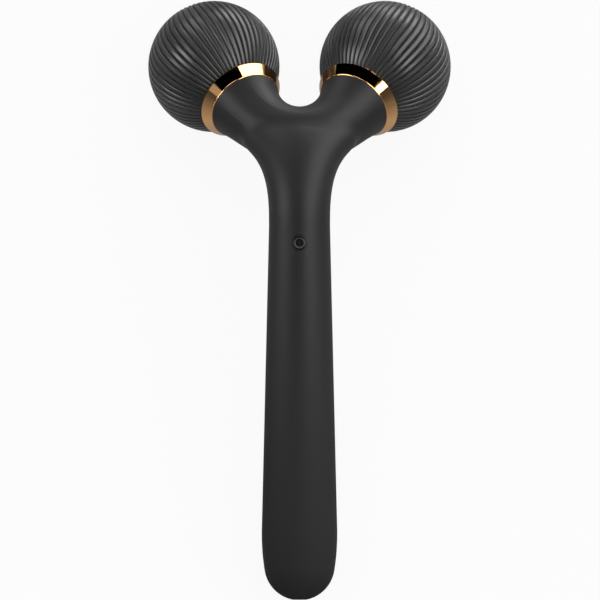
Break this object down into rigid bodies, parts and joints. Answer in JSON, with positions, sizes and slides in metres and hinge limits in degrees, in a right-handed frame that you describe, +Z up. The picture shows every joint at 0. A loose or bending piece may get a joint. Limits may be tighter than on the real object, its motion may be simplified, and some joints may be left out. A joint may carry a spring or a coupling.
{
  "type": "facial roller",
  "caption": "Y-shaped facial roller: slim vibrating grip with a push button, and ribbed balls that spin on splayed arms behind polished trim rings.",
  "frame": {"origin": "centre of the bottom of the bounding box, on the surface that the roller lies on with its button up", "axes": "+Y from the grip's tip to the balls, +Z up out of the button side, +X to the right seen from above"},
  "size_m": [0.0806, 0.1636, 0.0465],
  "materials": {
    "soft_touch": "soft-touch matte black",
    "ball_grip": "satin black, moulded ribs",
    "rose_gold": "polished rose-gold plating",
    "button": "satin dark grey",
    "inner_plastic": "moulded",
    "steel": "turned",
    "bush": "natural acetal",
    "seal": "matte rubber",
    "foam": "closed-cell foam",
    "board": "solder mask",
    "chip": "moulded",
    "battery_can": "sleeved cell",
    "weight": "sintered",
    "socket": "moulded",
    "lead": "insulated wire"
  },
  "bodies": {
    "handle": {"front_shell": "soft_touch", "rear_shell": "soft_touch", "chassis": "inner_plastic", "battery_cell": "battery_can", "battery_pad": "foam", "control_board": "board", "board_chips": "chip", "board_screws": "steel", "tact_switch": "chip", "charging_socket": "socket", "socket_gasket": "seal", "motor_can": "steel", "motor_sleeve": "seal", "battery_leads": "lead", "motor_leads": "lead", "socket_leads": "lead", "left_trim_ring": "rose_gold", "left_arm_plug": "inner_plastic", "left_axle": "steel", "left_axle_nut": "steel", "left_retaining_clip": "steel", "left_neck_seal": "seal", "right_trim_ring": "rose_gold", "right_arm_plug": "inner_plastic", "right_axle": "steel", "right_axle_nut": "steel", "right_retaining_clip": "steel", "right_neck_seal": "seal"},
    "button": {"button_cap": "button", "switch_plunger": "inner_plastic"},
    "motor_rotor": {"motor_shaft": "steel", "eccentric_weight": "weight"},
    "left_ball": {"left_ball_shell": "ball_grip", "left_ball_core": "inner_plastic", "left_inner_bush": "bush", "left_outer_bush": "bush", "left_ball_collar": "inner_plastic"},
    "right_ball": {"right_ball_shell": "ball_grip", "right_ball_core": "inner_plastic", "right_inner_bush": "bush", "right_outer_bush": "bush", "right_ball_collar": "inner_plastic"}
  },
  "joints": [
    {"name": "left_ball_spin", "type": "hinge", "parent": "handle", "child": "left_ball", "pos_m": [-0.02282, 0.06426, 0.0175], "axis": [-0.4555, 0.7518, -0.4767], "continuous": true},
    {"name": "right_ball_spin", "type": "hinge", "parent": "handle", "child": "right_ball", "pos_m": [0.02282, 0.06426, 0.0175], "axis": [0.4555, 0.7518, -0.4767], "continuous": true},
    {"name": "button_press", "type": "slide", "parent": "handle", "child": "button", "axis": [0, 0.3078, -0.9515], "range_m": [0, 0.0004], "stiffness_N_per_m": 3000},
    {"name": "motor_spin", "type": "hinge", "parent": "handle", "child": "motor_rotor", "pos_m": [0, 0.02189, 0.03902], "axis": [0, 0.9515, 0.3078], "continuous": true}
  ]
}
